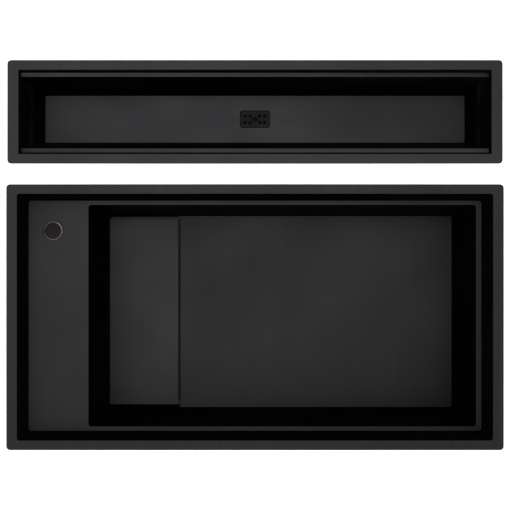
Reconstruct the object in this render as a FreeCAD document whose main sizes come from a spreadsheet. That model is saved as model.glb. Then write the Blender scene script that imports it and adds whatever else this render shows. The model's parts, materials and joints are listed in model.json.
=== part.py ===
import FreeCAD, Part
import math
import os
import re
import Sketcher

# Drop-in sink and equipped channel, one matched set, in millimetres.
# z = 0 is the worktop surface, the origin is the middle of the sink, +X runs right,
# +Y runs to the back and +Z up. Depths on the sheet are positive and used as minus z.

SIZES = [
    ("sheet_thick", 1.2, "folded steel sheet"),
    ("seal_thick", 1.0, "foam seal under both rims"),
    ("rim_thick", 2.0, "rim plate"),
    ("sink_half_x", 450.0, "sink rim, half length"),
    ("sink_half_y", 240.5, "sink rim, half width"),
    ("rim_corner", 7.0, "rim outer corner radius"),
    ("mouth_half_x", 430.8, "sink opening, half length"),
    ("mouth_half_y", 223.1, "sink opening, half width"),
    ("mouth_corner", 4.0, "opening corner radius"),
    ("ledge_half_x", 419.4, "ledge level, half length"),
    ("ledge_half_y", 213.0, "ledge level, half width"),
    ("ledge_corner", 5.0, "ledge corner radius"),
    ("ledge_depth", 47.0, "ledge below the worktop"),
    ("bowl_left", 308.6, "bowl mouth, left"),
    ("bowl_right", 409.7, "bowl mouth, right"),
    ("bowl_half_y", 205.3, "bowl mouth, half width"),
    ("bowl_corner", 5.0, "bowl corner radius"),
    ("floor_depth", 197.0, "bowl floor below the worktop"),
    ("floor_left", 291.5, "bowl floor, left"),
    ("floor_right", 390.7, "bowl floor, right"),
    ("floor_half_y", 189.7, "bowl floor, half width"),
    ("recess_edge", 147.6, "left edge of the flat floor"),
    ("sump_depth", 235.0, "sump floor below the worktop"),
    ("cover_left", 289.0, "drain cover, left"),
    ("cover_right", 152.4, "drain cover, right"),
    ("cover_half_y", 184.9, "drain cover, half width"),
    ("cover_thick", 2.0, "drain cover plate"),
    ("cover_corner", 3.0, "drain cover corner radius"),
    ("leg_radius", 4.0, "cover leg"),
    ("leg_inset_x", 16.0, "leg in from the cover's long edge"),
    ("leg_inset_y", 24.0, "leg in from the cover's short edge"),
    ("tip_radius", 6.0, "rubber leg tip"),
    ("tip_height", 6.0, "rubber leg tip"),
    ("tap_x", 373.5, "tap hole, left of the middle"),
    ("tap_y", 157.5, "tap hole, behind the middle"),
    ("tap_radius", 17.5, "tap hole"),
    ("plug_radius", 18.2, "blanking plug cap"),
    ("plug_skirt", 14.0, "blanking plug skirt, inside"),
    ("plug_deep", 11.0, "blanking plug skirt below the ledge"),
    ("plug_cap", 3.2, "blanking plug cap above the ledge"),
    ("plug_bevel", 1.2, "bevel round the plug cap"),
    ("backing_half", 30.0, "tap backing plate, half size"),
    ("backing_thick", 3.0, "tap backing plate"),
    ("pad_thick", 4.0, "sound-deadening pads"),
    ("pad_corner", 6.0, "floor pad corner radius"),
    ("pad_half_y", 150.0, "floor pads, half width"),
    ("pad_left", 110.0, "left floor pad, left edge"),
    ("pad_middle", 127.5, "joint between the floor pads"),
    ("pad_joint", 7.5, "half the gap between the floor pads"),
    ("pad_right", 365.0, "right floor pad, right edge"),
    ("wall_pad_left", 220.0, "wall pads, left edge"),
    ("wall_pad_right", 320.0, "wall pads, right edge"),
    ("drain_x", 219.5, "waste, left of the middle"),
    ("drain_radius", 44.5, "hole in the sump floor"),
    ("dish_radius", 44.0, "waste dish, outside"),
    ("flange_radius", 57.0, "waste flange"),
    ("dish_depth", 265.0, "waste dish bottom, outside"),
    ("spigot_radius", 20.0, "waste spigot, outside"),
    ("spigot_bore", 18.5, "waste spigot, inside"),
    ("spigot_end", 288.0, "waste spigot, lower end"),
    ("tail_socket", 23.5, "tailpiece socket, outside"),
    ("tail_top", 277.0, "tailpiece socket, upper end"),
    ("tail_shoulder", 292.0, "tailpiece socket, lower end"),
    ("tail_end", 345.0, "tailpiece, lower end"),
    ("tail_bore", 17.5, "tailpiece, inside"),
    ("pipe_radius", 12.5, "channel outlet spigot, outside"),
    ("pipe_bore", 10.5, "channel outlet spigot, inside"),
    ("fit_gap", 0.05, "gap of a slip fit"),
    ("gasket_gap", 0.1, "gap of a seal round the waste dish"),
    ("gasket_thick", 3.0, "waste gasket"),
    ("lock_height", 12.0, "waste lock nut"),
    ("lock_wall", 8.0, "waste lock nut, wall"),
    ("grip_radius", 4.0, "finger grips of the lock nut"),
    ("basket_floor", 23.8, "basket underside below the sump floor"),
    ("basket_sheet", 1.0, "basket sheet"),
    ("basket_base", 37.0, "basket underside, flat part"),
    ("basket_side", 39.5, "basket side at its foot"),
    ("basket_lip", 47.0, "basket lip"),
    ("knob_stem", 3.2, "basket knob stem"),
    ("knob_radius", 8.5, "basket knob"),
    ("tail_nut_radius", 28.5, "tailpiece nut, over its corners"),
    ("tail_nut_height", 13.0, "tailpiece nut"),
    ("channel_y", 371.4, "middle of the channel"),
    ("chan_half_x", 448.0, "channel rim, half length"),
    ("chan_half_y", 93.75, "channel rim, half width"),
    ("chan_mouth_x", 428.1, "channel opening, half length"),
    ("chan_mouth_y", 76.0, "channel opening, half width"),
    ("rail_out", 72.4, "channel rail, outer edge"),
    ("rail_in", 65.2, "channel rail, inner edge"),
    ("rail_depth", 9.0, "channel rail below the worktop"),
    ("chan_floor_x", 399.5, "channel floor, half length"),
    ("chan_floor_y", 44.6, "channel floor, half width"),
    ("chan_depth", 107.0, "channel floor below the worktop"),
    ("end_slope", 0.26481, "lean of the channel ends"),
    ("side_slope", 0.21020, "lean of the channel sides"),
    ("throat_half_x", 28.7, "channel outlet opening, half length"),
    ("throat_half_y", 16.5, "channel outlet opening, half width"),
    ("strainer_half_x", 27.2, "channel strainer, half length"),
    ("strainer_half_y", 15.25, "channel strainer, half width"),
    ("strainer_thick", 1.5, "channel strainer"),
    ("strainer_corner", 4.2, "channel strainer corner radius"),
    ("throat_corner", 5.5, "channel outlet opening corner radius"),
    ("slot_half", 3.2, "square strainer hole, half size"),
    ("slot_near_x", 9.1, "near strainer holes"),
    ("slot_far_x", 18.8, "far strainer holes"),
    ("slot_y", 5.85, "strainer hole rows"),
    ("screw_head", 4.75, "strainer screw head"),
    ("screw_radius", 2.5, "strainer and clamp screws"),
    ("screw_clear", 2.58, "running hole on a screw"),
    ("outlet_half_x", 42.0, "channel outlet flange, half length"),
    ("outlet_half_y", 28.0, "channel outlet flange, half width"),
    ("outlet_floor", 141.5, "channel outlet box, lower side"),
    ("outlet_axis", 127.5, "channel outlet spigot, axis"),
    ("outlet_end", 66.0, "channel outlet spigot, end, left of the middle"),
    ("clamp_y", 223.0, "sink clamp screws from the middle"),
    ("clamp_step", 300.0, "sink clamp spacing"),
    ("clamp_deep", 48.2, "top of the sink clamp tabs"),
    ("chan_clamp_y", 78.0, "channel clamp screws from its middle"),
    ("chan_clamp_step", 250.0, "channel clamps from the middle"),
    ("chan_clamp_deep", 49.0, "top of the channel clamp tabs"),
    ("tab_thick", 3.0, "clamp tabs"),
    ("claw_long", 28.0, "claw reach"),
    ("claw_half", 4.0, "claw, half width"),
    ("claw_thick", 3.0, "claw"),
]

doc = FreeCAD.newDocument("sink_set")
sheet = doc.addObject("Spreadsheet::Sheet", "dims")
for row, (alias, value, note) in enumerate(SIZES, start=1):
    sheet.set("A%d" % row, note)
    sheet.set("B%d" % row, str(value))
    sheet.setAlias("B%d" % row, alias)
doc.recompute()
NODES = []


def full(text):
    """An expression with every sheet name written out."""
    return re.sub(r"[a-z_]+", lambda word: "dims." + word.group(0), str(text))


def num(text):
    """The present value of an expression, used only to place first geometry."""
    return float(sheet.evalExpression(str(text)))


def vec(x, y, z=0.0):
    return FreeCAD.Vector(x, y, z)


def new_body(name, label):
    body = doc.addObject("PartDesign::Body", name)
    body.Label = label
    if "AllowCompound" in body.PropertiesList:
        body.AllowCompound = True
    NODES.append((name, body))
    return body


def new_sketch(body, plane, offset):
    sketch = body.newObject("Sketcher::SketchObject", body.Name + "_sketch")
    support = [item for item in body.Origin.OriginFeatures if item.Role == plane][0]
    sketch.AttachmentSupport = (support, [""])
    sketch.MapMode = "FlatFace"
    sketch.setExpression("AttachmentOffset.Base.z", full(offset))
    return sketch


def hold(sketch, kind, item, point, text):
    """Tie one coordinate of a sketch point to the sheet."""
    limit = Sketcher.Constraint(kind, -1, 1, item, point, num(text))
    index = sketch.addConstraint(limit)
    sketch.setExpression("Constraints[%d]" % index, full(text))


def add_polygon(sketch, points):
    first = sketch.GeometryCount
    count = len(points)
    spots = [vec(num(u), num(v)) for u, v in points]
    for i in range(count):
        sketch.addGeometry(Part.LineSegment(spots[i], spots[(i + 1) % count]), False)
    for i in range(count):
        after = first + (i + 1) % count
        sketch.addConstraint(Sketcher.Constraint("Coincident", first + i, 2, after, 1))
    for i, (u, v) in enumerate(points):
        hold(sketch, "DistanceX", first + i, 1, u)
        hold(sketch, "DistanceY", first + i, 1, v)


def add_circle(sketch, x, y, radius):
    circle = Part.Circle(vec(num(x), num(y)), vec(0, 0, 1), num(radius))
    item = sketch.addGeometry(circle, False)
    hold(sketch, "DistanceX", item, 3, x)
    hold(sketch, "DistanceY", item, 3, y)
    index = sketch.addConstraint(Sketcher.Constraint("Radius", item, num(radius)))
    sketch.setExpression("Constraints[%d]" % index, full(radius))


def add_round_rect(sketch, left, right, low, high, radius):
    first = sketch.GeometryCount
    x0, x1, y0, y1, r = [num(text) for text in (left, right, low, high, radius)]
    sides = [
        (vec(x0 + r, y0), vec(x1 - r, y0)),
        (vec(x1, y0 + r), vec(x1, y1 - r)),
        (vec(x1 - r, y1), vec(x0 + r, y1)),
        (vec(x0, y1 - r), vec(x0, y0 + r)),
    ]
    middles = [(x1 - r, y0 + r), (x1 - r, y1 - r), (x0 + r, y1 - r), (x0 + r, y0 + r)]
    for i in range(4):
        start = math.radians(90 * i - 90)
        circle = Part.Circle(vec(*middles[i]), vec(0, 0, 1), r)
        sketch.addGeometry(Part.LineSegment(*sides[i]), False)
        sketch.addGeometry(Part.ArcOfCircle(circle, start, start + math.pi / 2), False)
    for i in range(4):
        line = first + 2 * i
        after = first + (2 * i + 2) % 8
        sketch.addConstraint(Sketcher.Constraint("Tangent", line, 2, line + 1, 1))
        sketch.addConstraint(Sketcher.Constraint("Tangent", line + 1, 2, after, 1))
        flat = "Horizontal" if i % 2 == 0 else "Vertical"
        sketch.addConstraint(Sketcher.Constraint(flat, line))
    index = sketch.addConstraint(Sketcher.Constraint("Radius", first + 1, r))
    sketch.setExpression("Constraints[%d]" % index, full(radius))
    for arc in (first + 3, first + 5, first + 7):
        sketch.addConstraint(Sketcher.Constraint("Equal", first + 1, arc))
    hold(sketch, "DistanceY", first, 1, low)
    hold(sketch, "DistanceX", first + 2, 1, right)
    hold(sketch, "DistanceY", first + 4, 1, high)
    hold(sketch, "DistanceX", first + 6, 1, left)


def pad(body, sketch, length, both_ways=False):
    feature = body.newObject("PartDesign::Pad", body.Name + "_pad")
    feature.Profile = sketch
    feature.setExpression("Length", full(length))
    feature.Midplane = both_ways
    return feature


def pocket(body, sketch, length, both_ways=False):
    feature = body.newObject("PartDesign::Pocket", body.Name + "_pocket")
    feature.Profile = sketch
    feature.setExpression("Length", full(length))
    feature.Midplane = both_ways
    return feature


def loft(body, kind, sketches):
    feature = body.newObject("PartDesign::" + kind, body.Name + "_loft")
    feature.Profile = sketches[0]
    feature.Sections = sketches[1:]
    feature.Ruled = True
    return feature


def turn(body, points, centre_x, centre_y):
    """A profile of (radius, z) pairs turned round an upright axis."""
    sketch = new_sketch(body, "XZ_Plane", "0 - (" + centre_y + ")")
    add_polygon(sketch, [("%s + %s" % (centre_x, r), z) for r, z in points])
    first = sketch.GeometryCount
    axis = Part.LineSegment(vec(num(centre_x), -500), vec(num(centre_x), 10))
    sketch.addGeometry(axis, True)
    sketch.addConstraint(Sketcher.Constraint("Vertical", first))
    hold(sketch, "DistanceX", first, 1, centre_x)
    hold(sketch, "DistanceY", first, 1, "-500")
    hold(sketch, "DistanceY", first, 2, "10")
    feature = body.newObject("PartDesign::Revolution", body.Name + "_turn")
    feature.Profile = sketch
    feature.ReferenceAxis = (sketch, ["Axis0"])
    feature.Angle = 360
    return feature


def ring(name, label, outer, inner, low, thick):
    """A flat frame between two rounded rectangles."""
    body = new_body(name, label)
    sketch = new_sketch(body, "XY_Plane", low)
    add_round_rect(sketch, *outer)
    add_round_rect(sketch, *inner)
    pad(body, sketch, thick)
    return body


def box_of(half_x, half_y, radius, middle_y="0"):
    low = "%s - (%s)" % (middle_y, half_y)
    high = "%s + %s" % (middle_y, half_y)
    return ("0 - (%s)" % half_x, half_x, low, high, radius)


def lean_wall(name, label, top, top_z, base, base_z):
    """A leaning sheet wall: rounded rectangles joined from one level to the other."""
    body = new_body(name, label)
    skin = " + sheet_thick"
    for kind, extra in (("AdditiveLoft", skin), ("SubtractiveLoft", "")):
        levels = []
        for shape, level in ((base, base_z), (top, top_z)):
            left, right, low, high, radius = shape
            sketch = new_sketch(body, "XY_Plane", level)
            less = " - sheet_thick" if extra else ""
            add_round_rect(sketch, left + less, right + extra, low + less, high + extra,
                           radius + extra)
            levels.append(sketch)
        loft(body, kind, levels)
    return body


# ---------------------------------------------------------------- sink, rim to ledge
RIM = box_of("sink_half_x", "sink_half_y", "rim_corner")
MOUTH = box_of("mouth_half_x", "mouth_half_y", "mouth_corner")
ring("sink_rim", "Sink rim", RIM, MOUTH, "seal_thick", "rim_thick")
ring("sink_rim_seal", "Sink rim seal",
     box_of("sink_half_x - 2", "sink_half_y - 2", "rim_corner - 1"),
     box_of("sink_half_x - 10", "sink_half_y - 9.5", "mouth_corner"), "0", "seal_thick")

LEDGE = box_of("ledge_half_x", "ledge_half_y", "ledge_corner")
lean_wall("upper_tub", "Upper tub wall", MOUTH, "seal_thick", LEDGE, "0 - ledge_depth")

MOUTH_OF_BOWL = ("0 - bowl_left", "bowl_right", "0 - bowl_half_y", "bowl_half_y", "bowl_corner")
ledge = new_body("ledge_plate", "Ledge plate")
sketch = new_sketch(ledge, "XY_Plane", "0 - ledge_depth - sheet_thick")
add_round_rect(sketch, *box_of("ledge_half_x + sheet_thick", "ledge_half_y + sheet_thick",
                               "ledge_corner + sheet_thick"))
add_round_rect(sketch, *MOUTH_OF_BOWL)
add_circle(sketch, "0 - tap_x", "tap_y", "tap_radius")
pad(ledge, sketch, "sheet_thick")

backing = new_body("tap_backing_plate", "Tap backing plate")
sketch = new_sketch(backing, "XY_Plane", "0 - ledge_depth - sheet_thick - backing_thick")
add_round_rect(sketch, "0 - tap_x - backing_half", "0 - tap_x + backing_half",
               "tap_y - backing_half", "tap_y + backing_half", "mouth_corner")
add_circle(sketch, "0 - tap_x", "tap_y", "tap_radius")
pad(backing, sketch, "backing_thick")

plug = new_body("tap_hole_plug", "Tap hole blanking plug")
turn(plug, [
    ("plug_skirt", "0 - ledge_depth - plug_deep"),
    ("tap_radius - 0.6", "0 - ledge_depth - plug_deep"),
    ("tap_radius - 0.1", "0 - ledge_depth"),
    ("plug_radius", "0 - ledge_depth"),
    ("plug_radius", "0 - ledge_depth + plug_cap - plug_bevel"),
    ("plug_radius - plug_bevel", "0 - ledge_depth + plug_cap"),
    ("0", "0 - ledge_depth + plug_cap"),
    ("0", "0 - ledge_depth - 0.6"),
    ("plug_skirt", "0 - ledge_depth - 0.6"),
], "0 - tap_x", "tap_y")

# ---------------------------------------------------------------- bowl and sump
FLOOR = ("0 - floor_left", "floor_right", "0 - floor_half_y", "floor_half_y", "bowl_corner")
lean_wall("bowl_walls", "Bowl walls", MOUTH_OF_BOWL, "0 - ledge_depth - sheet_thick",
          FLOOR, "0 - floor_depth")

floor = new_body("bowl_floor", "Bowl floor")
sketch = new_sketch(floor, "XY_Plane", "0 - floor_depth - sheet_thick")
add_round_rect(sketch, "0 - recess_edge", "floor_right + sheet_thick",
               "0 - floor_half_y - sheet_thick", "floor_half_y + sheet_thick", "1")
pad(floor, sketch, "sheet_thick")

sump = new_body("drain_sump", "Drain sump")
sketch = new_sketch(sump, "XY_Plane", "0 - sump_depth - sheet_thick")
add_round_rect(sketch, "0 - floor_left - sheet_thick", "0 - recess_edge + sheet_thick",
               "0 - floor_half_y - sheet_thick", "floor_half_y + sheet_thick", "1")
pad(sump, sketch, "sump_depth - floor_depth + sheet_thick")
sketch = new_sketch(sump, "XY_Plane", "0 - floor_depth")
add_round_rect(sketch, "0 - floor_left", "0 - recess_edge",
               "0 - floor_half_y", "floor_half_y", "bowl_corner")
pocket(sump, sketch, "sump_depth - floor_depth")
sketch = new_sketch(sump, "XY_Plane", "0 - floor_depth")
add_polygon(sketch, [
    ("0 - recess_edge", "0 - floor_half_y - 10"),
    ("0 - recess_edge + 10", "0 - floor_half_y - 10"),
    ("0 - recess_edge + 10", "floor_half_y + 10"),
    ("0 - recess_edge", "floor_half_y + 10"),
])
pocket(sump, sketch, "sheet_thick")
sketch = new_sketch(sump, "XY_Plane", "0 - sump_depth")
add_circle(sketch, "0 - drain_x", "0", "drain_radius")
pocket(sump, sketch, "sheet_thick + 1")

pads = new_body("floor_pads", "Floor sound pads")
sketch = new_sketch(pads, "XY_Plane", "0 - floor_depth - sheet_thick - pad_thick")
for left, right in (("0 - pad_left", "pad_middle - pad_joint"),
                    ("pad_middle + pad_joint", "pad_right")):
    add_round_rect(sketch, left, right, "0 - pad_half_y", "pad_half_y", "pad_corner")
pad(pads, sketch, "pad_thick")

for name, label, side in (("wall_pad_front", "Front sound pad", "0 - "),
                          ("wall_pad_back", "Back sound pad", "")):
    wall_pad = new_body(name, label)
    levels = []
    for level in ("175", "75"):
        face = ("(bowl_half_y - (bowl_half_y - floor_half_y) * (%s - ledge_depth - sheet_thick)"
                " / (floor_depth - ledge_depth - sheet_thick) + sheet_thick)" % level)
        sketch = new_sketch(wall_pad, "XY_Plane", "0 - " + level)
        add_polygon(sketch, [
            ("0 - wall_pad_left", side + face),
            ("wall_pad_right", side + face),
            ("wall_pad_right", side + "(" + face + " + pad_thick)"),
            ("0 - wall_pad_left", side + "(" + face + " + pad_thick)"),
        ])
        levels.append(sketch)
    loft(wall_pad, "AdditiveLoft", levels)

# ---------------------------------------------------------------- drain cover
cover = new_body("drain_cover", "Drain cover plate")
sketch = new_sketch(cover, "XY_Plane", "0 - floor_depth - cover_thick")
add_round_rect(sketch, "0 - cover_left", "0 - cover_right",
               "0 - cover_half_y", "cover_half_y", "cover_corner")
pad(cover, sketch, "cover_thick")

LEG_SPOTS = []
for x in ("0 - cover_left + leg_inset_x", "0 - cover_right - leg_inset_x"):
    for y in ("cover_half_y - leg_inset_y", "0 - cover_half_y + leg_inset_y"):
        LEG_SPOTS.append((x, y))

legs = new_body("cover_legs", "Cover legs")
sketch = new_sketch(legs, "XY_Plane", "0 - sump_depth + tip_height")
for x, y in LEG_SPOTS:
    add_circle(sketch, x, y, "leg_radius")
pad(legs, sketch, "sump_depth - tip_height - floor_depth - cover_thick")

tips = new_body("cover_leg_tips", "Cover leg tips")
sketch = new_sketch(tips, "XY_Plane", "0 - sump_depth")
for x, y in LEG_SPOTS:
    add_circle(sketch, x, y, "tip_radius")
pad(tips, sketch, "tip_height")

# ---------------------------------------------------------------- basket waste
flange = new_body("waste_flange", "Waste flange and dish")
turn(flange, [
    ("spigot_bore", "0 - dish_depth + sheet_thick"),
    ("dish_radius - sheet_thick", "0 - dish_depth + sheet_thick"),
    ("dish_radius - sheet_thick", "0 - sump_depth + sheet_thick"),
    ("flange_radius", "0 - sump_depth + sheet_thick"),
    ("flange_radius", "0 - sump_depth"),
    ("dish_radius", "0 - sump_depth"),
    ("dish_radius", "0 - dish_depth"),
    ("spigot_radius", "0 - dish_depth"),
    ("spigot_radius", "0 - spigot_end"),
    ("spigot_bore", "0 - spigot_end"),
], "0 - drain_x", "0")

gasket = new_body("waste_gasket", "Waste gasket")
turn(gasket, [
    ("dish_radius + gasket_gap", "0 - sump_depth - sheet_thick - gasket_thick"),
    ("flange_radius", "0 - sump_depth - sheet_thick - gasket_thick"),
    ("flange_radius", "0 - sump_depth - sheet_thick"),
    ("dish_radius + gasket_gap", "0 - sump_depth - sheet_thick"),
], "0 - drain_x", "0")

lock_nut = new_body("waste_lock_nut", "Waste lock nut")
sketch = new_sketch(lock_nut, "XY_Plane", "0 - sump_depth - sheet_thick - gasket_thick - lock_height")
add_circle(sketch, "0 - drain_x", "0", "dish_radius + lock_wall")
add_circle(sketch, "0 - drain_x", "0", "dish_radius + gasket_gap")
pad(lock_nut, sketch, "lock_height")
sketch = new_sketch(lock_nut, "XY_Plane", "0 - sump_depth - sheet_thick - gasket_thick - lock_height")
for i in range(8):
    along = round(math.cos(math.radians(45 * i)), 5)
    across = round(math.sin(math.radians(45 * i)), 5)
    add_circle(sketch, "(dish_radius + lock_wall + 0.5) * %s - drain_x" % along,
               "(dish_radius + lock_wall + 0.5) * %s" % across, "grip_radius")
pad(lock_nut, sketch, "lock_height - 3")

basket = new_body("basket_strainer", "Basket strainer")
turn(basket, [
    ("0", "0 - sump_depth - basket_floor"),
    ("basket_base", "0 - sump_depth - basket_floor"),
    ("basket_side", "0 - sump_depth - basket_floor + 2.5"),
    ("basket_side + 1.5", "0 - sump_depth + sheet_thick"),
    ("basket_lip", "0 - sump_depth + sheet_thick"),
    ("basket_lip", "0 - sump_depth + sheet_thick + basket_sheet"),
    ("basket_side + 0.5", "0 - sump_depth + sheet_thick + basket_sheet"),
    ("basket_side - 1.1", "0 - sump_depth - basket_floor + 3"),
    ("basket_base - 0.6", "0 - sump_depth - basket_floor + basket_sheet"),
    ("0", "0 - sump_depth - basket_floor + basket_sheet"),
], "0 - drain_x", "0")
sketch = new_sketch(basket, "XY_Plane", "0 - sump_depth - 20")
for count, reach, radius in ((12, 32, "2.4"), (8, 24, "2.2")):
    for i in range(count):
        along = round(reach * math.cos(2 * math.pi * i / count), 4)
        across = round(reach * math.sin(2 * math.pi * i / count), 4)
        add_circle(sketch, "%s - drain_x" % along, "%s" % across, radius)
pocket(basket, sketch, "6")
sketch = new_sketch(basket, "XZ_Plane", "0")
for step in ("0 - 20", "0", "20"):
    add_round_rect(sketch, "%s - 3 - drain_x" % step, "%s + 3 - drain_x" % step,
                   "0 - sump_depth - 17", "0 - sump_depth - 7", "2")
pocket(basket, sketch, "100", both_ways=True)
sketch = new_sketch(basket, "YZ_Plane", "0 - drain_x")
for step in ("0 - 20", "0", "20"):
    add_round_rect(sketch, "%s - 3" % step, "%s + 3" % step,
                   "0 - sump_depth - 17", "0 - sump_depth - 7", "2")
pocket(basket, sketch, "100", both_ways=True)

seal = new_body("basket_seal", "Basket seal")
turn(seal, [
    ("0", "0 - dish_depth + sheet_thick"),
    ("21.2", "0 - dish_depth + sheet_thick"),
    ("20", "0 - sump_depth - basket_floor"),
    ("0", "0 - sump_depth - basket_floor"),
], "0 - drain_x", "0")

knob = new_body("basket_knob", "Basket knob")
turn(knob, [
    ("0", "0 - sump_depth - basket_floor + basket_sheet"),
    ("6", "0 - sump_depth - basket_floor + basket_sheet"),
    ("knob_stem", "0 - sump_depth - 18"),
    ("knob_stem", "0 - sump_depth + 1"),
    ("knob_radius", "0 - sump_depth + 4"),
    ("knob_radius", "0 - sump_depth + 7"),
    ("knob_radius - 2", "0 - sump_depth + 9"),
    ("0", "0 - sump_depth + 9"),
], "0 - drain_x", "0")

# ---------------------------------------------------------------- channel
CHAN_RIM = box_of("chan_half_x", "chan_half_y", "rim_corner", "channel_y")
CHAN_MOUTH = box_of("chan_mouth_x", "chan_mouth_y", "1", "channel_y")
ring("channel_rim", "Channel rim", CHAN_RIM, CHAN_MOUTH, "seal_thick", "rim_thick")
ring("channel_rim_seal", "Channel rim seal",
     box_of("chan_half_x - 2", "chan_half_y - 2", "rim_corner - 1", "channel_y"),
     box_of("chan_half_x - 8", "chan_half_y - 7.75", "mouth_corner", "channel_y"),
     "0", "seal_thick")

INSIDE = [
    ("chan_mouth_y", "seal_thick"),
    ("rail_out", "0 - rail_depth"),
    ("rail_in", "0 - rail_depth"),
    ("chan_floor_y", "0 - chan_depth"),
]
OUTSIDE = [
    ("chan_mouth_y + sheet_thick", "seal_thick"),
    ("rail_out + sheet_thick", "0 - rail_depth - sheet_thick"),
    ("rail_in + 1", "0 - rail_depth - sheet_thick"),
    ("chan_floor_y + 1", "0 - chan_depth - sheet_thick"),
]


def both_sides(line):
    """A half profile carried from the front side, under and up the back side."""
    front = [("channel_y - (%s)" % y, z) for y, z in line]
    back = [("channel_y + %s" % y, z) for y, z in reversed(line)]
    return front + back


def end_line(side, extra, level):
    return "%s(chan_floor_x + end_slope * (%s + chan_depth) + %s)" % (side, level, extra)


def end_region(sketch, side, near, far):
    """The area between two upright-ish lines that lean with the channel's end."""
    low, high = "(0 - chan_depth - 4)", "(seal_thick + 4)"
    add_polygon(sketch, [
        (end_line(side, near, low), low),
        (end_line(side, far, low), low),
        (end_line(side, far, high), high),
        (end_line(side, near, high), high),
    ])


trough = new_body("channel_trough", "Channel trough")
sketch = new_sketch(trough, "YZ_Plane", "0")
add_polygon(sketch, both_sides(OUTSIDE) + list(reversed(both_sides(INSIDE))))
pad(trough, sketch, "2 * chan_mouth_x + 8", both_ways=True)
sketch = new_sketch(trough, "XZ_Plane", "0 - channel_y")
end_region(sketch, "", "0", "60")
end_region(sketch, "0 - ", "0", "60")
pocket(trough, sketch, "300", both_ways=True)
sketch = new_sketch(trough, "XY_Plane", "0 - chan_depth + 1")
add_round_rect(sketch, *box_of("throat_half_x", "throat_half_y", "throat_corner", "channel_y"))
pocket(trough, sketch, "4")

for name, label, side, start in (
        ("channel_end_left", "Channel left end", "0 - ", "0 - chan_mouth_x - 6"),
        ("channel_end_right", "Channel right end", "", "chan_floor_x - 6")):
    end = new_body(name, label)
    sketch = new_sketch(end, "YZ_Plane", start)
    add_polygon(sketch, both_sides(OUTSIDE))
    pad(end, sketch, "chan_mouth_x - chan_floor_x + 12")
    sketch = new_sketch(end, "XZ_Plane", "0 - channel_y")
    end_region(sketch, side, "sheet_thick", "60")
    end_region(sketch, side, "0 - 60", "0")
    pocket(end, sketch, "300", both_ways=True)

strainer = new_body("strainer_plate", "Channel strainer plate")
sketch = new_sketch(strainer, "XY_Plane", "0 - chan_depth - strainer_thick")
add_round_rect(sketch, *box_of("strainer_half_x", "strainer_half_y", "strainer_corner",
                               "channel_y"))
add_circle(sketch, "0", "channel_y", "screw_clear")
for x in ("slot_near_x", "slot_far_x", "0 - slot_near_x", "0 - slot_far_x"):
    for y in ("channel_y + slot_y", "channel_y - slot_y"):
        add_round_rect(sketch, x + " - slot_half", x + " + slot_half",
                       y + " - slot_half", y + " + slot_half", "1.5")
pad(strainer, sketch, "strainer_thick")

screw = new_body("strainer_screw", "Strainer screw")
sketch = new_sketch(screw, "XY_Plane", "0 - chan_depth - 9")
add_circle(sketch, "0", "channel_y", "screw_radius")
pad(screw, sketch, "9")
sketch = new_sketch(screw, "XY_Plane", "0 - chan_depth")
add_circle(sketch, "0", "channel_y", "screw_head")
pad(screw, sketch, "2.5")
sketch = new_sketch(screw, "XY_Plane", "0 - chan_depth + 2.5")
add_polygon(sketch, [
    ("%s" % round(2.3 * math.cos(math.radians(60 * i)), 4),
     "channel_y + %s" % round(2.3 * math.sin(math.radians(60 * i)), 4))
    for i in range(6)
])
pocket(screw, sketch, "1.8")

OUTLET_TOP = "0 - chan_depth - sheet_thick - 1.5"
ring("outlet_gasket", "Channel outlet gasket",
     box_of("outlet_half_x", "outlet_half_y", "6", "channel_y"),
     box_of("throat_half_x", "throat_half_y", "throat_corner", "channel_y"), OUTLET_TOP, "1.5")

outlet = new_body("channel_outlet", "Channel outlet")
sketch = new_sketch(outlet, "XY_Plane", OUTLET_TOP + " - 3")
add_round_rect(sketch, *box_of("outlet_half_x", "outlet_half_y", "6", "channel_y"))
pad(outlet, sketch, "3")
sketch = new_sketch(outlet, "XY_Plane", "0 - outlet_floor")
add_round_rect(sketch, *box_of("throat_half_x + 2.8", "throat_half_y + 2.8",
                               "throat_corner + 2.8", "channel_y"))
pad(outlet, sketch, "outlet_floor - chan_depth - sheet_thick - 4.5")
sketch = new_sketch(outlet, "XY_Plane", OUTLET_TOP)
add_round_rect(sketch, *box_of("throat_half_x", "throat_half_y", "throat_corner", "channel_y"))
pocket(outlet, sketch, "outlet_floor - chan_depth - sheet_thick - 3.5")
sketch = new_sketch(outlet, "YZ_Plane", "0 - outlet_end")
add_circle(sketch, "channel_y", "0 - outlet_axis", "pipe_radius")
pad(outlet, sketch, "outlet_end - throat_half_x - 1")
sketch = new_sketch(outlet, "YZ_Plane", "0 - throat_half_x + 2")
add_circle(sketch, "channel_y", "0 - outlet_axis", "pipe_bore")
pocket(outlet, sketch, "outlet_end - throat_half_x + 4")
sketch = new_sketch(outlet, "XY_Plane", "0 - outlet_floor + 24")
add_polygon(sketch, [
    ("0 - throat_half_x - 1", "channel_y - 4"),
    ("throat_half_x + 1", "channel_y - 4"),
    ("throat_half_x + 1", "channel_y + 4"),
    ("0 - throat_half_x - 1", "channel_y + 4"),
])
pad(outlet, sketch, "4")
sketch = new_sketch(outlet, "XY_Plane", "0 - outlet_floor + 24")
add_circle(sketch, "0", "channel_y", "6")
pad(outlet, sketch, "outlet_floor - 24 - chan_depth - strainer_thick")
sketch = new_sketch(outlet, "XY_Plane", "0 - chan_depth")
add_circle(sketch, "0", "channel_y", "screw_clear")
pocket(outlet, sketch, "outlet_floor - 24 - chan_depth + 2")

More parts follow.
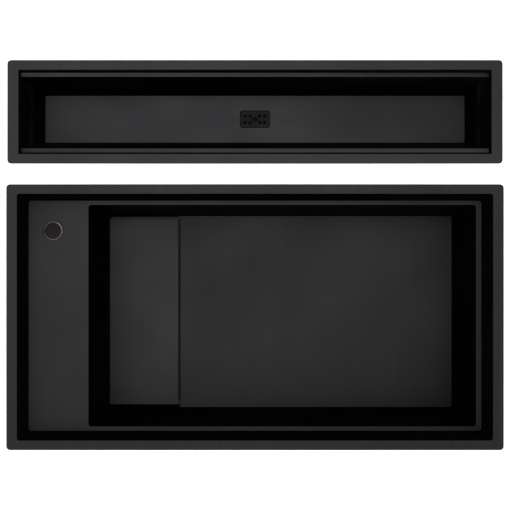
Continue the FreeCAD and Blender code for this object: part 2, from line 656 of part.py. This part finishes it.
# ---------------------------------------------------------------- waste tail
tail = new_body("waste_tail", "Waste tailpiece")
turn(tail, [
    ("tail_bore", "0 - tail_end"),
    ("spigot_radius", "0 - tail_end"),
    ("spigot_radius", "0 - tail_shoulder"),
    ("tail_socket", "0 - tail_shoulder + 3"),
    ("tail_socket", "0 - tail_top"),
    ("spigot_radius + fit_gap", "0 - tail_top"),
    ("spigot_radius + fit_gap", "0 - spigot_end - 1"),
    ("tail_bore", "0 - spigot_end - 1"),
], "0 - drain_x", "0")

tail_nut = new_body("tail_nut", "Tailpiece nut")
sketch = new_sketch(tail_nut, "XY_Plane", "0 - tail_top + 1 - tail_nut_height")
add_polygon(sketch, [
    ("tail_nut_radius * %s - drain_x" % round(math.cos(math.radians(45 * i)), 5),
     "tail_nut_radius * %s" % round(math.sin(math.radians(45 * i)), 5))
    for i in range(8)
])
add_circle(sketch, "0 - drain_x", "0", "tail_socket + fit_gap")
pad(tail_nut, sketch, "tail_nut_height")

# ---------------------------------------------------------------- clamps
SINK_CLAMPS = []
for side, row in (("0 - ", "front"), ("", "back")):
    for x, column in (("0 - clamp_step", "left"), ("0", "middle"), ("clamp_step", "right")):
        SINK_CLAMPS.append(("sink_claw_%s_%s" % (row, column), x, side + "clamp_y"))
CHANNEL_CLAMPS = []
for sign, row in ((" - ", "front"), (" + ", "back")):
    for x, column in (("0 - chan_clamp_step", "left"), ("chan_clamp_step", "right")):
        spot = "channel_y" + sign + "chan_clamp_y"
        CHANNEL_CLAMPS.append(("channel_claw_%s_%s" % (row, column), x, spot))

tabs = new_body("sink_clamp_tabs", "Sink clamp tabs")
sketch = new_sketch(tabs, "XY_Plane", "0 - clamp_deep - tab_thick")
for name, x, y in SINK_CLAMPS:
    inner, outer = ("208", "229") if "back" in name else ("0 - 229", "0 - 208")
    add_round_rect(sketch, x + " - 9", x + " + 9", inner, outer, "2")
    add_circle(sketch, x, y, "screw_clear")
pad(tabs, sketch, "tab_thick")

tabs = new_body("channel_clamp_tabs", "Channel clamp tabs")
for start in ("0 - chan_clamp_step - 9", "chan_clamp_step - 9"):
    sketch = new_sketch(tabs, "YZ_Plane", start)
    for sign in (" - ", " + "):
        wall = "(rail_in + 1 - side_slope * (%s - rail_depth - sheet_thick))"
        near_top = wall % "chan_clamp_deep"
        near_low = wall % "(chan_clamp_deep + tab_thick)"
        add_polygon(sketch, [
            ("channel_y" + sign + near_top, "0 - chan_clamp_deep"),
            ("channel_y" + sign + "(chan_clamp_y + 6)", "0 - chan_clamp_deep"),
            ("channel_y" + sign + "(chan_clamp_y + 6)", "0 - chan_clamp_deep - tab_thick"),
            ("channel_y" + sign + near_low, "0 - chan_clamp_deep - tab_thick"),
        ])
    pad(tabs, sketch, "18")
sketch = new_sketch(tabs, "XY_Plane", "0 - chan_clamp_deep + 1")
for name, x, y in CHANNEL_CLAMPS:
    add_circle(sketch, x, y, "screw_clear")
pocket(tabs, sketch, "tab_thick + 2")

for name, label, clamps, deep in (
        ("sink_clamp_screws", "Sink clamp screws", SINK_CLAMPS, "clamp_deep"),
        ("channel_clamp_screws", "Channel clamp screws", CHANNEL_CLAMPS, "chan_clamp_deep")):
    screws = new_body(name, label)
    levels = (
        ("0 - %s - 12" % deep, "screw_radius", "42"),
        ("0 - %s - tab_thick - 4" % deep, "4.6", "4"),
        ("0 - %s" % deep, "4", "4"),
    )
    for low, radius, height in levels:
        sketch = new_sketch(screws, "XY_Plane", low)
        for claw, x, y in clamps:
            add_circle(sketch, x, y, radius)
        pad(screws, sketch, height)

for clamps, deep in ((SINK_CLAMPS, "clamp_deep"), (CHANNEL_CLAMPS, "chan_clamp_deep")):
    for name, x, y in clamps:
        claw = new_body(name, name.replace("_", " ").capitalize())
        sketch = new_sketch(claw, "XY_Plane", "0 - %s + 4" % deep)
        add_round_rect(sketch, x + " - 5", x + " + claw_long",
                       y + " - claw_half", y + " + claw_half", "claw_half - 0.2")
        add_circle(sketch, x, y, "screw_clear")
        pad(claw, sketch, "claw_thick")
        sketch = new_sketch(claw, "XY_Plane", "0 - %s + 4 + claw_thick" % deep)
        add_polygon(sketch, [
            (x + " + claw_long - 6", y + " - claw_half + 1"),
            (x + " + claw_long - 2", y + " - claw_half + 1"),
            (x + " + claw_long - 2", y + " + claw_half - 1"),
            (x + " + claw_long - 6", y + " + claw_half - 1"),
        ])
        pad(claw, sketch, "7")

# ---------------------------------------------------------------- recompute, check, export
doc.recompute()
faults = [item.Name for item in doc.Objects if {"Invalid", "Error"} & set(item.State)]
if faults:
    raise RuntimeError("features with faults: %s" % faults)
for name, item in NODES:
    if item.Shape.isNull() or not item.Shape.isValid() or not item.Shape.Solids:
        raise RuntimeError("bad shape: %s" % name)
os.makedirs("parts", exist_ok=True)
for name, item in NODES:
    item.Shape.exportStep("parts/%s.step" % name)
print("%d nodes" % len(NODES))
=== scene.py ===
import json
import math

import bmesh
import bpy
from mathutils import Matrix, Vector


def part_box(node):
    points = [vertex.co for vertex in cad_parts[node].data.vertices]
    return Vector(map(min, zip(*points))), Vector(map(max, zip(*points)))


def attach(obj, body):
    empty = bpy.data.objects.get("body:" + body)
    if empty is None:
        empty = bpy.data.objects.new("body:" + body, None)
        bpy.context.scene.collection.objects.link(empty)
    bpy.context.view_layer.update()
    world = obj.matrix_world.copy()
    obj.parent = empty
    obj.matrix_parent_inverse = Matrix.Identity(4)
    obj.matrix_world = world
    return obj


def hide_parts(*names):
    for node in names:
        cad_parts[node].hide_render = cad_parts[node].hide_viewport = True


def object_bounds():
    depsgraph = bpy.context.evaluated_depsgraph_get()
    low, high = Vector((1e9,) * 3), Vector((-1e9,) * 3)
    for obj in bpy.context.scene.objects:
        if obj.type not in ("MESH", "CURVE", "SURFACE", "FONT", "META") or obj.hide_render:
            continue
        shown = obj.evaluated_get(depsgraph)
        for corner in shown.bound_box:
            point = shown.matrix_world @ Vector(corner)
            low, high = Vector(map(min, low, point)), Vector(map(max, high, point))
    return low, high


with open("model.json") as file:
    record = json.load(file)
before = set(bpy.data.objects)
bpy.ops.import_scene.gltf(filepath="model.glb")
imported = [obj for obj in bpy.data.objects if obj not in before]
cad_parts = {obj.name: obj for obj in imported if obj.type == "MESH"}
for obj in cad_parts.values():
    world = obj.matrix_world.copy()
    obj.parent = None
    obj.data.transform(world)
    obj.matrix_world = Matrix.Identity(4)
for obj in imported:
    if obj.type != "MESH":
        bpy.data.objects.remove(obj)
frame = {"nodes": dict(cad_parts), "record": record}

CAD_BOX = [list(corner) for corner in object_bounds()]
NODE_BODY = {node: body for body, nodes in frame["record"]["behaviour"]["bodies"].items()
             for node in nodes}
NODE_SLOT = {row["node"]: row["material_slot"] for row in frame["record"]["subparts"]}
MM = 0.001


# ---------------------------------------------------------------- materials


class Shader:
    """A small helper that builds one material's nodes."""

    def __init__(self, name):
        self.material = bpy.data.materials.new(name)
        self.material.use_nodes = True
        self.tree = self.material.node_tree
        self.tree.nodes.clear()
        self.out = self.add("ShaderNodeOutputMaterial")
        self.bsdf = self.add("ShaderNodeBsdfPrincipled")
        self.link(self.bsdf.outputs["BSDF"], self.out.inputs["Surface"])
        self.coords = self.add("ShaderNodeTexCoord").outputs["Object"]

    def add(self, kind, **settings):
        node = self.tree.nodes.new(kind)
        for key, value in settings.items():
            setattr(node, key, value)
        return node

    def link(self, source, target):
        self.tree.links.new(source, target)

    def fixed(self, **values):
        for key, value in values.items():
            self.bsdf.inputs[key.replace("_", " ")].default_value = value

    def math(self, operation, a, b=None, c=None):
        node = self.add("ShaderNodeMath", operation=operation)
        for socket, value in zip(node.inputs, (a, b, c)):
            if value is None:
                continue
            if isinstance(value, (int, float)):
                socket.default_value = value
            else:
                self.link(value, socket)
        return node.outputs[0]

    def stretched(self, scale):
        node = self.add("ShaderNodeMapping")
        node.inputs["Scale"].default_value = scale
        self.link(self.coords, node.inputs["Vector"])
        return node.outputs["Vector"]

    def noise(self, scale, coords=None, detail=3.0, rough=0.5):
        node = self.add("ShaderNodeTexNoise")
        node.inputs["Scale"].default_value = scale
        node.inputs["Detail"].default_value = detail
        node.inputs["Roughness"].default_value = rough
        self.link(coords or self.coords, node.inputs["Vector"])
        return node.outputs["Fac"]

    def cells(self, scale):
        node = self.add("ShaderNodeTexVoronoi", feature="F1")
        node.inputs["Scale"].default_value = scale
        self.link(self.coords, node.inputs["Vector"])
        return node

    def spread(self, value, low, high, from_low=0.3, from_high=0.7):
        node = self.add("ShaderNodeMapRange")
        self.link(value, node.inputs["Value"])
        for key, number in (("From Min", from_low), ("From Max", from_high),
                            ("To Min", low), ("To Max", high)):
            node.inputs[key].default_value = number
        return node.outputs["Result"]

    def tint(self, value, dark, light, low=0.3, high=0.7):
        node = self.add("ShaderNodeValToRGB")
        node.color_ramp.elements[0].position = low
        node.color_ramp.elements[0].color = (*dark, 1)
        node.color_ramp.elements[1].position = high
        node.color_ramp.elements[1].color = (*light, 1)
        self.link(value, node.inputs["Fac"])
        self.link(node.outputs["Color"], self.bsdf.inputs["Base Color"])

    def bump(self, height, strength, distance):
        node = self.add("ShaderNodeBump")
        node.inputs["Strength"].default_value = strength
        node.inputs["Distance"].default_value = distance
        self.link(height, node.inputs["Height"])
        self.link(node.outputs["Normal"], self.bsdf.inputs["Normal"])

    def rough(self, value):
        self.link(value, self.bsdf.inputs["Roughness"])


FACES_X = 0.7              # how far a normal turns to X before the brushing runs along Y
FINE_GRAIN = (14, 1900)    # noise scale along and across the brushing
WIDE_GRAIN = (1.6, 130)
FINE_SHARE = 0.45
TINT_HALF = 0.22           # half the noise range that the colours spread over
GRAIN_BUMP = (0.10, 0.0001)
BRUSHED_STRETCH = 0.45     # anisotropy of the highlight


def grain_coords(s, along, across):
    """Coordinates stretched along the brushing: along X, or along Y on faces that look along X."""
    run_x = s.stretched((along, across, across))
    run_y = s.stretched((across, along, across))
    normal = s.add("ShaderNodeSeparateXYZ")
    s.link(s.add("ShaderNodeTexCoord").outputs["Normal"], normal.inputs[0])
    faces_x = s.math("GREATER_THAN", s.math("ABSOLUTE", normal.outputs["X"]), FACES_X)
    pick = s.add("ShaderNodeMix", data_type="VECTOR")
    s.link(faces_x, pick.inputs["Factor"])
    vectors = [socket for socket in pick.inputs if socket.type == "VECTOR"]
    s.link(run_x, vectors[0])
    s.link(run_y, vectors[1])
    return [socket for socket in pick.outputs if socket.type == "VECTOR"][0]


def brushed_steel(name, dark, light, edge, roughness, streaks=1.0):
    """Brushed sheet: fine grain, wider streaks and faint smears in the gloss.

    edge is how bright the sheet gets at a glancing angle."""
    s = Shader(name)
    fine = s.noise(1.0, grain_coords(s, *FINE_GRAIN), detail=2.0)
    wide = s.noise(1.0, grain_coords(s, *WIDE_GRAIN), detail=4.0, rough=0.62)
    smear = s.noise(7.0, detail=2.0)
    mixed = s.math("MULTIPLY_ADD", wide, 1 - FINE_SHARE, s.math("MULTIPLY", fine, FINE_SHARE))
    s.tint(mixed, dark, light, 0.5 - TINT_HALF / streaks, 0.5 + TINT_HALF / streaks)
    gloss = s.math("MULTIPLY_ADD", smear, 0.5, s.math("MULTIPLY", mixed, 0.5))
    s.rough(s.spread(gloss, *roughness, 0.38, 0.62))
    s.bump(fine, *GRAIN_BUMP)
    s.fixed(Metallic=1.0, Specular_Tint=(edge, edge, edge, 1), Anisotropic=BRUSHED_STRETCH)
    return s.material


def zinc_plate():
    s = Shader("zinc_plate")
    patch = s.cells(420).outputs["Color"]
    split = s.add("ShaderNodeSeparateColor")
    s.link(patch, split.inputs[0])
    mixed = s.math("MULTIPLY_ADD", split.outputs[0], 0.35, s.noise(60, detail=4))
    s.tint(mixed, (0.30, 0.30, 0.285), (0.62, 0.62, 0.60), 0.4, 1.0)
    s.rough(s.spread(s.noise(240), 0.28, 0.5))
    s.bump(s.noise(900), 0.12, 0.0001)
    s.fixed(Metallic=1.0)
    return s.material


def foam(name, dark, light):
    s = Shader(name)
    cells = s.cells(900).outputs["Distance"]
    s.tint(s.math("MULTIPLY_ADD", cells, 0.5, s.math("MULTIPLY", s.noise(35), 0.6)),
           dark, light, 0.25, 0.75)
    s.bump(cells, 0.55, 0.0006)
    s.rough(s.spread(cells, 0.98, 0.82, 0.0, 0.8))
    s.fixed(Specular_IOR_Level=0.25)
    return s.material


def rubber(name, dark, light, grit, roughness=(0.55, 0.75)):
    s = Shader(name)
    s.tint(s.noise(45, detail=5), dark, light)
    s.rough(s.spread(s.noise(120), *roughness))
    s.bump(s.noise(grit, detail=4, rough=0.6), 0.3, 0.0004)
    return s.material


def moulded_plastic(name, dark, light, roughness=(0.3, 0.46), scatter=0.0, shine=0.5):
    s = Shader(name)
    s.tint(s.noise(22, detail=4), dark, light)
    s.rough(s.spread(s.noise(160), *roughness))
    s.bump(s.noise(1500, detail=2), 0.10, 0.0001)
    s.fixed(Subsurface_Weight=scatter, Subsurface_Scale=0.002, Specular_IOR_Level=shine)
    return s.material


MATERIALS = {
    "flat": brushed_steel(
        "black_steel_flat", dark=(0.0195, 0.0193, 0.0206), light=(0.0275, 0.0273, 0.0290),
        edge=0.5, roughness=(0.46, 0.56)),
    # a lighter copy of the black steel for the channel's rim and level faces: painted light, the
    # same steel made brighter than the sink's
    "channel": brushed_steel(
        "black_steel_channel_painted_light", dark=(0.0225, 0.0222, 0.0237), light=(0.0310, 0.0306, 0.0326),
        edge=0.5, roughness=(0.44, 0.54)),
    # a copy of the black steel for the inner walls: its glancing sheen cut low so the walls read
    # black from above (painted shade), its base colour set lighter than the level faces' (painted
    # light)
    "wall": brushed_steel(
        "black_steel_wall_painted_shade_and_light", dark=(0.026, 0.026, 0.027), light=(0.040, 0.040, 0.041),
        edge=0.25, roughness=(0.34, 0.44)),
    # a lighter copy of the black steel for the outer faces, with a stronger glancing sheen:
    # painted light and painted highlights on the outside
    "outside": brushed_steel(
        "black_steel_outside_painted_light", dark=(0.038, 0.038, 0.039), light=(0.066, 0.066, 0.067),
        edge=0.85, roughness=(0.34, 0.46), streaks=0.8),
    "cover": brushed_steel(
        "cover_steel", dark=(0.0195, 0.0192, 0.0204), light=(0.0285, 0.0282, 0.0297),
        edge=0.55, roughness=(0.40, 0.50), streaks=1.2),
    "waste": brushed_steel(
        "waste_steel", dark=(0.024, 0.024, 0.025), light=(0.04, 0.04, 0.041),
        edge=0.6, roughness=(0.26, 0.36)),
    "strainer": brushed_steel(
        "strainer_steel", dark=(0.0080, 0.0080, 0.0085), light=(0.0115, 0.0115, 0.0120),
        edge=0.25, roughness=(0.44, 0.54)),
    "screw": brushed_steel(
        "blackened_screw", dark=(0.0020, 0.0020, 0.0021), light=(0.0045, 0.0045, 0.0047),
        edge=0.12, roughness=(0.34, 0.44)),
    # bright metal for the tap plug's bevel faces, its colour set to stand for the lit bevel: a
    # painted highlight, on top of the lamps' true reflections
    "edge": brushed_steel(
        "polished_edge_painted_highlight", dark=(0.078, 0.078, 0.080), light=(0.105, 0.105, 0.108),
        edge=0.5, roughness=(0.12, 0.18)),
    "zinc": zinc_plate(),
    "foam": foam("seal_foam", dark=(0.012, 0.012, 0.013), light=(0.03, 0.03, 0.031)),
    "pad": rubber("sound_pad", dark=(0.036, 0.036, 0.037), light=(0.050, 0.050, 0.051),
                  grit=520, roughness=(0.8, 0.95)),
    "rubber": rubber("black_rubber", dark=(0.010, 0.010, 0.011), light=(0.022, 0.022, 0.023),
                     grit=900),
    "plug": moulded_plastic("plug_plastic", dark=(0.0075, 0.0052, 0.0058),
                            light=(0.0115, 0.0085, 0.0092), roughness=(0.42, 0.52), shine=0.06),
    # black plastic, made near-black so the strainer holes over it read dark: partly its own
    # colour, partly painted shade
    "outlet": moulded_plastic("outlet_plastic", dark=(0.0035, 0.0035, 0.0037),
                              light=(0.0065, 0.0065, 0.0068), shine=0.15),
    "pipe": moulded_plastic("pipe_plastic", dark=(0.66, 0.665, 0.66), light=(0.74, 0.745, 0.735),
                            roughness=(0.34, 0.48), scatter=0.12),
}
SLOT_MATERIAL = {
    "black_steel": "flat",
    "cover_steel": "cover",
    "waste_steel": "waste",
    "zinc_steel": "zinc",
    "claw_steel": "zinc",
    "seal_foam": "foam",
    "sound_pad": "pad",
    "black_rubber": "rubber",
    "plug_plastic": "plug",
    "pipe_plastic": "pipe",
    "outlet_plastic": "outlet",
}


# ---------------------------------------------------------------- mesh helpers


SMOOTH_ANGLE = math.radians(35)    # a sharper edge than this stays crisp in the shading
WELD = 1e-6                        # CAD seam points closer than this are one point
FLAT_ANGLE = math.radians(0.6)     # faces this close to one plane become one face


def new_piece(name, bm, material, node):
    """Turns a bmesh into a shown piece that stands for a CAD node and rides on its body."""
    mesh = bpy.data.meshes.new(name)
    bm.to_mesh(mesh)
    bm.free()
    obj = bpy.data.objects.new(name, mesh)
    bpy.context.scene.collection.objects.link(obj)
    mesh.materials.append(MATERIALS[material])
    mesh.shade_smooth()
    mesh.set_sharp_from_angle(angle=SMOOTH_ANGLE)
    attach(obj, NODE_BODY[node])
    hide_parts(node)
    return obj


def soften(obj, width, segments=2, angle=40):
    """Rounds every sharp edge by width millimetres, as a folded or moulded edge is."""
    bevel = obj.modifiers.new("soft_edges", "BEVEL")
    bevel.width = width * MM
    bevel.segments = segments
    bevel.limit_method = "ANGLE"
    bevel.angle_limit = math.radians(angle)
    bevel.harden_normals = True
    bevel.miter_outer = "MITER_ARC"
    return obj


def clean_copy(node):
    """The CAD node's surface with its split seams welded and its flat faces whole."""
    bm = bmesh.new()
    bm.from_mesh(frame["nodes"][node].data)
    bmesh.ops.remove_doubles(bm, verts=bm.verts, dist=WELD)
    bmesh.ops.dissolve_limit(bm, angle_limit=FLAT_ANGLE, verts=bm.verts, edges=bm.edges)
    return bm


def soft_node(node, width, segments=2, material=None):
    """Shows a CAD node as a cleaned copy of itself with rounded edges."""
    key = material or SLOT_MATERIAL[NODE_SLOT[node]]
    return soften(new_piece(node + "_shape", clean_copy(node), key, node), width, segments)


def two_sided(obj, inside, outside, is_inside):
    """Gives the faces that look into the basin one copy of the steel and the rest another; the
    copies' colours carry painted light and shade.
    """
    mesh = obj.data
    mesh.materials.clear()
    mesh.materials.append(MATERIALS[inside])
    mesh.materials.append(MATERIALS[outside])
    for face in mesh.polygons:
        face.material_index = 0 if is_inside(face) else 1
    return obj


def faces_in(node):
    """A test that says whether a face looks towards the upright line in a node's middle."""
    low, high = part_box(node)
    middle = (low + high) / 2

    def test(face):
        away = face.center - middle
        return face.normal.x * away.x + face.normal.y * away.y < 0.0
    return test


# ---------------------------------------------------------------- steel shells
LEVEL = 0.9                # a normal this upright belongs to a level face
LEANING = 0.5              # a normal less upright than this belongs to a wall


def not_underneath(face):
    return face.normal.z > -LEANING


def sump_inside(face):
    return face.normal.z > LEANING or faces_in("drain_sump")(face)


def channel_trough(node):
    """The trough's level faces, its inner sides and its outside get three copies of the black
    steel, lighter or darker by painted light and shade.
    """
    trough = soft_node(node, 0.3)
    trough.data.materials.clear()
    for key in ("channel", "wall", "outside"):
        trough.data.materials.append(MATERIALS[key])
    is_inner = faces_in("channel_rim")
    for face in trough.data.polygons:
        side = 1 if is_inner(face) else 2
        face.material_index = 0 if face.normal.z > LEVEL else side


soft_node("sink_rim", 0.7, 3)
# The channel's rim takes the lighter copy of the steel: painted light.
soft_node("channel_rim", 0.7, 3, "channel")
# Inner walls take the steel copy with painted shade, outer faces the copy with painted light.
two_sided(soft_node("upper_tub", 0.3), "wall", "outside", faces_in("upper_tub"))
two_sided(soft_node("bowl_walls", 0.3), "wall", "outside", faces_in("bowl_walls"))
two_sided(soft_node("ledge_plate", 0.4), "flat", "outside", not_underneath)
two_sided(soft_node("bowl_floor", 0.3), "flat", "outside", not_underneath)
two_sided(soft_node("drain_sump", 0.3), "wall", "outside", sump_inside)
channel_trough("channel_trough")
for node in ("channel_end_left", "channel_end_right"):
    two_sided(soft_node(node, 0.3), "wall", "outside", faces_in("channel_rim"))


# ---------------------------------------------------------------- covers, wastes, seals
soft_node("drain_cover", 0.6, 3)
soft_node("cover_legs", 0.4)
soft_node("cover_leg_tips", 1.2, 3)
soft_node("strainer_plate", 0.35, 2, "strainer")
soft_node("strainer_screw", 0.4, 3, "screw")
soft_node("waste_flange", 0.4)
soft_node("basket_strainer", 0.35)
soft_node("basket_knob", 0.8, 3)
for node in ("basket_seal", "waste_gasket", "outlet_gasket"):
    soft_node(node, 0.5)
for node in ("sink_rim_seal", "channel_rim_seal"):
    soft_node(node, 0.4)
for node in ("floor_pads", "wall_pad_front", "wall_pad_back"):
    soft_node(node, 1.2, 3)
for node in ("waste_lock_nut", "waste_tail", "tail_nut", "channel_outlet"):
    soft_node(node, 0.6, 3)
for node in ("tap_backing_plate", "sink_clamp_tabs", "channel_clamp_tabs"):
    soft_node(node, 0.4)
for node in sorted(NODE_SLOT):
    if NODE_SLOT[node] == "claw_steel":
        soft_node(node, 0.5, 3)


# ---------------------------------------------------------------- tap hole plug
CAD_BEVEL = 1.2 * MM
BEVEL_RUN = 2.7 * MM
BEVEL_DROP = 2.3 * MM
SAME_LEVEL = 0.1 * MM
BEVEL_NORMALS = (0.3, 0.97)    # how upright the normals of the bevel's faces may be


def tap_plug(node):
    """The blanking plug, with a wide bevel round the top of its cap whose faces get a bright metal
    colour: a painted highlight ring, on top of the lamps' true reflections in the bevel.
    """
    low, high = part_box(node)
    middle = (low + high) / 2
    reach = (high.x - low.x) / 2
    narrower = (reach - BEVEL_RUN) / (reach - CAD_BEVEL)
    bm = clean_copy(node)
    for vert in bm.verts:
        below_top = high.z - vert.co.z
        if below_top < SAME_LEVEL:
            vert.co.x = middle.x + (vert.co.x - middle.x) * narrower
            vert.co.y = middle.y + (vert.co.y - middle.y) * narrower
        elif abs(below_top - CAD_BEVEL) < SAME_LEVEL:
            vert.co.z = high.z - BEVEL_DROP
    piece = soften(new_piece(node + "_shape", bm, "plug", node), 0.2, angle=25)
    piece.modifiers["soft_edges"].material = 0
    # The bevel faces take the bright metal: a painted highlight ring.
    piece.data.materials.append(MATERIALS["edge"])
    least, most = BEVEL_NORMALS
    for face in piece.data.polygons:
        if least < face.normal.z < most:
            face.material_index = 1


tap_plug("tap_hole_plug")

# ---------------------------------------------------------------- threaded clamp screws
THREAD_TURN = 24           # points round one ring
THREAD_PITCH = 1.25 * MM
RINGS_PER_PITCH = 4
THREAD_DEPTH = 0.32 * MM
LEAD_IN = 0.3 * MM         # how far the rod narrows over its first and last millimetre
ROD_RADIUS = 2.5 * MM
NUT_RADIUS = 4.6 * MM      # over its corners
NUT_HEIGHT = 4 * MM
NUT_CHAMFER = 0.5 * MM
COLLAR_RADIUS = 4 * MM
COLLAR_HEIGHT = 4 * MM
COLLAR_CHAMFER = 0.3 * MM


def ring_of(bm, spot, level, radius_at):
    x, y = spot
    loop = []
    for i in range(THREAD_TURN):
        angle = 2 * math.pi * i / THREAD_TURN
        r = radius_at(angle)
        loop.append(bm.verts.new((x + r * math.cos(angle), y + r * math.sin(angle), level)))
    return loop


def skin(bm, rings):
    """Joins rings of points into one closed surface, with a flat face at both ends."""
    for low, high in zip(rings, rings[1:]):
        for i in range(THREAD_TURN):
            j = (i + 1) % THREAD_TURN
            bm.faces.new((low[i], low[j], high[j], high[i]))
    bm.faces.new(list(reversed(rings[0])))
    bm.faces.new(rings[-1])


def threaded_rod(bm, spot, low, high, radius):
    """A rod with a helical thread: every point's radius follows its place along the pitch."""
    steps = int((high - low) / (THREAD_PITCH / RINGS_PER_PITCH))
    rings = []
    for k in range(steps + 1):
        level = low + (high - low) * k / steps
        taper = min(1.0, (level - low) / MM, (high - level) / MM)

        def radius_at(angle):
            turn = (level / THREAD_PITCH - angle / (2 * math.pi)) % 1.0
            tooth = abs(2 * turn - 1)
            return radius - THREAD_DEPTH * (1 - tooth) - LEAD_IN * (1 - taper)
        rings.append(ring_of(bm, spot, level, radius_at))
    skin(bm, rings)


def hex_nut(bm, spot, low, high, radius):
    """A six-sided nut with its corners turned off at both faces."""
    flat = radius * math.cos(math.pi / 6)

    def hexagon(limit):
        def radius_at(angle):
            part = (angle + math.pi / 6) % (math.pi / 3) - math.pi / 6
            return min(limit, flat / math.cos(part))
        return radius_at
    rings = []
    for level, limit in ((low, flat * 0.95), (low + NUT_CHAMFER, radius),
                         (high - NUT_CHAMFER, radius), (high, flat * 0.95)):
        rings.append(ring_of(bm, spot, level, hexagon(limit)))
    skin(bm, rings)


def collar(bm, spot, low, high, radius):
    """A round collar with both its edges chamfered."""
    narrow = radius - COLLAR_CHAMFER
    rings = []
    for level, r in ((low, narrow), (low + COLLAR_CHAMFER, radius),
                     (high - COLLAR_CHAMFER, radius), (high, narrow)):
        rings.append(ring_of(bm, spot, level, lambda angle, r=r: r))
    skin(bm, rings)


def clamp_screws(node, tabs):
    """Threaded rods, nuts and collars at the clamp tabs, on the axes of the claw hinges."""
    low, high = (corner.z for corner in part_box(node))
    tab_low, tab_high = (corner.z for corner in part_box(tabs))
    bm = bmesh.new()
    prefix = node.split("_")[0]
    for joint in frame["record"]["behaviour"]["joints"]:
        if joint["name"].startswith(prefix + "_claw"):
            spot = joint["pos_m"][:2]
            threaded_rod(bm, spot, low, high, ROD_RADIUS)
            hex_nut(bm, spot, tab_low - NUT_HEIGHT, tab_low, NUT_RADIUS)
            collar(bm, spot, tab_high, tab_high + COLLAR_HEIGHT, COLLAR_RADIUS)
    new_piece(node + "_shape", bm, "zinc", node)


clamp_screws("sink_clamp_screws", "sink_clamp_tabs")
clamp_screws("channel_clamp_screws", "channel_clamp_tabs")


# ---------------------------------------------------------------- stage, light, camera
FLOOR_HALF = 6.0
FLOOR_GAP = 0.0005         # keeps the floor just clear of the object's lowest point
FLOOR_GLOW = 0.55
SKY = 1.05
CAMERA_SPOT = (0.0, 0.1125, 2.003)
WORKTOP_DISTANCE = 2.0     # from the camera down to the rims
VIEW_WIDTH = 0.922         # width of the picture at the rims
SENSOR_WIDTH = 36.0


def floor_plane(level):
    """A plain white studio floor."""
    bm = bmesh.new()
    bmesh.ops.create_grid(bm, x_segments=8, y_segments=8, size=FLOOR_HALF)
    mesh = bpy.data.meshes.new("stage_floor")
    bm.to_mesh(mesh)
    bm.free()
    obj = bpy.data.objects.new("stage_floor", mesh)
    obj.location.z = level
    bpy.context.scene.collection.objects.link(obj)
    s = Shader("stage_floor")
    s.tint(s.noise(3.0), (0.93, 0.93, 0.93), (0.95, 0.95, 0.95))
    s.rough(s.spread(s.noise(8.0), 0.85, 0.95))
    s.fixed(Emission_Color=(1, 1, 1, 1), Emission_Strength=FLOOR_GLOW)
    mesh.materials.append(s.material)


def area_light(name, spot, aim, size_x, size_y, radiance):
    """A softbox whose power follows its area, so its brightness is set by radiance alone."""
    light = bpy.data.lights.new(name, "AREA")
    light.shape = "RECTANGLE"
    light.size = size_x
    light.size_y = size_y
    light.energy = radiance * math.pi * size_x * size_y
    obj = bpy.data.objects.new(name, light)
    obj.location = spot
    obj.rotation_euler = (Vector(aim) - Vector(spot)).to_track_quat("-Z", "Y").to_euler()
    bpy.context.scene.collection.objects.link(obj)


floor_plane(CAD_BOX[0][2] - FLOOR_GAP)
world = bpy.data.worlds.new("studio")
bpy.context.scene.world = world
world.use_nodes = True
sky = world.node_tree.nodes["Background"]
sky.inputs["Color"].default_value = (1, 1, 1, 1)
sky.inputs["Strength"].default_value = SKY
area_light("overhead", spot=(-0.35, 0.5, 2.6), aim=(0.0, 0.1, 0.0),
           size_x=2.2, size_y=1.7, radiance=1.7)
area_light("side_left", spot=(-2.3, -1.9, 1.1), aim=(0.0, 0.0, -0.1),
           size_x=1.5, size_y=1.2, radiance=4.0)
area_light("side_right", spot=(2.4, 1.9, 1.3), aim=(0.0, 0.2, -0.1),
           size_x=1.5, size_y=1.2, radiance=4.0)

camera_data = bpy.data.cameras.new("camera")
camera_data.sensor_width = SENSOR_WIDTH
camera_data.lens = SENSOR_WIDTH * WORKTOP_DISTANCE / VIEW_WIDTH
camera = bpy.data.objects.new("camera", camera_data)
camera.location = CAMERA_SPOT
bpy.context.scene.collection.objects.link(camera)
bpy.context.scene.camera = camera
bpy.context.scene.view_settings.view_transform = "Standard"
